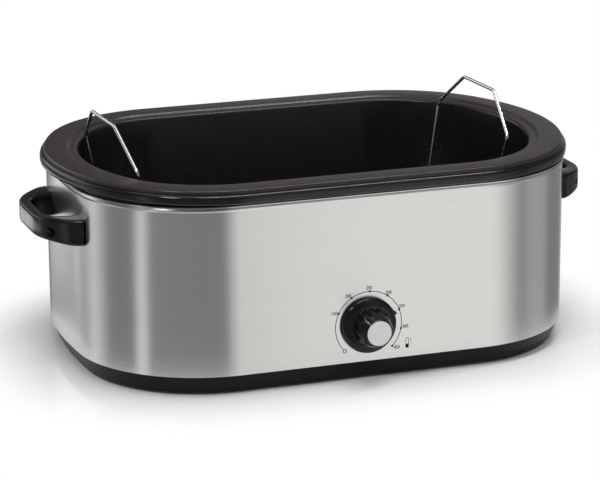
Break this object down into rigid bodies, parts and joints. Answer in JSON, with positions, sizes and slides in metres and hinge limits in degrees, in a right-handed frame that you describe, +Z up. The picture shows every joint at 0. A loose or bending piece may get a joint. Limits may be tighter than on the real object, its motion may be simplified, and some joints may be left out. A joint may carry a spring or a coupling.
{
  "type": "electric roaster oven",
  "caption": "Oval countertop electric roaster oven: brushed steel wrap, black base, rolled rim, bail handles, temperature knob, lift-out roasting pan and wire rack.",
  "frame": {"origin": "on the worktop, in the plane of the feet, under the middle of the steel wrap", "axes": "+X along the length to the right as seen from the front, -Y is the front with the knob, +Z is up"},
  "size_m": [0.632, 0.426, 0.268],
  "materials": {
    "brushed_steel": "horizontally brushed stainless sheet",
    "black_moulding": "semi-matte black moulding",
    "zinc_steel": "plated sheet steel",
    "foot_rubber": "matte black rubber",
    "screw_steel": "bright plated steel",
    "black_enamel": "glossy black enamel on steel",
    "glass_fibre": "woolly glass-fibre blanket",
    "element_sheath": "dull oxidised metal sheath",
    "handle_black": "glossy black moulding",
    "thermostat_case": "dark brown moulded case",
    "copper": "drawn copper",
    "terminal_ceramic": "unglazed white ceramic",
    "lead_sleeve": "braided glass sleeve",
    "lead_red": "red silicone insulation",
    "cap_silver": "light silver-grey cap",
    "pan_enamel": "speckled dark enamel on steel",
    "rack_chrome": "bright chromed wire"
  },
  "bodies": {
    "oven": {"steel_wrap": "brushed_steel", "base": "black_moulding", "bottom_plate": "zinc_steel", "feet": "foot_rubber", "base_screws": "screw_steel", "trim_collar": "black_moulding", "heating_well": "black_enamel", "insulation_blanket": "glass_fibre", "heating_element": "element_sheath", "element_clips": "zinc_steel", "handle_left": "handle_black", "handle_right": "handle_black", "handle_screws": "screw_steel", "handle_backing_plates": "zinc_steel", "tie_studs": "screw_steel", "tie_spacers": "zinc_steel", "tie_nuts": "screw_steel", "thermostat_body": "thermostat_case", "thermostat_screws": "screw_steel", "sensing_bulb": "copper", "terminal_block": "terminal_ceramic", "heater_leads": "lead_sleeve", "thermostat_leads": "lead_red", "cord_bushing": "black_moulding"},
    "knob": {"thermostat_shaft": "screw_steel", "knob": "handle_black", "knob_cap": "cap_silver"},
    "pan": {"roasting_pan": "pan_enamel"},
    "rack": {"rack_frame": "rack_chrome", "rack_wires": "rack_chrome", "rack_feet": "rack_chrome", "rack_handle_left": "rack_chrome", "rack_handle_right": "rack_chrome"}
  },
  "joints": [
    {"name": "knob_turn", "type": "hinge", "parent": "oven", "child": "knob", "pos_m": [0.0045, -0.19, 0.063], "axis": [0, 1, 0], "range_deg": [-204, 68]},
    {"name": "pan_lift", "type": "slide", "parent": "oven", "child": "pan", "axis": [0, 0, 1], "range_m": [0, 0.24]},
    {"name": "rack_lift", "type": "slide", "parent": "pan", "child": "rack", "axis": [0, 0, 1], "range_m": [0, 0.22]}
  ]
}
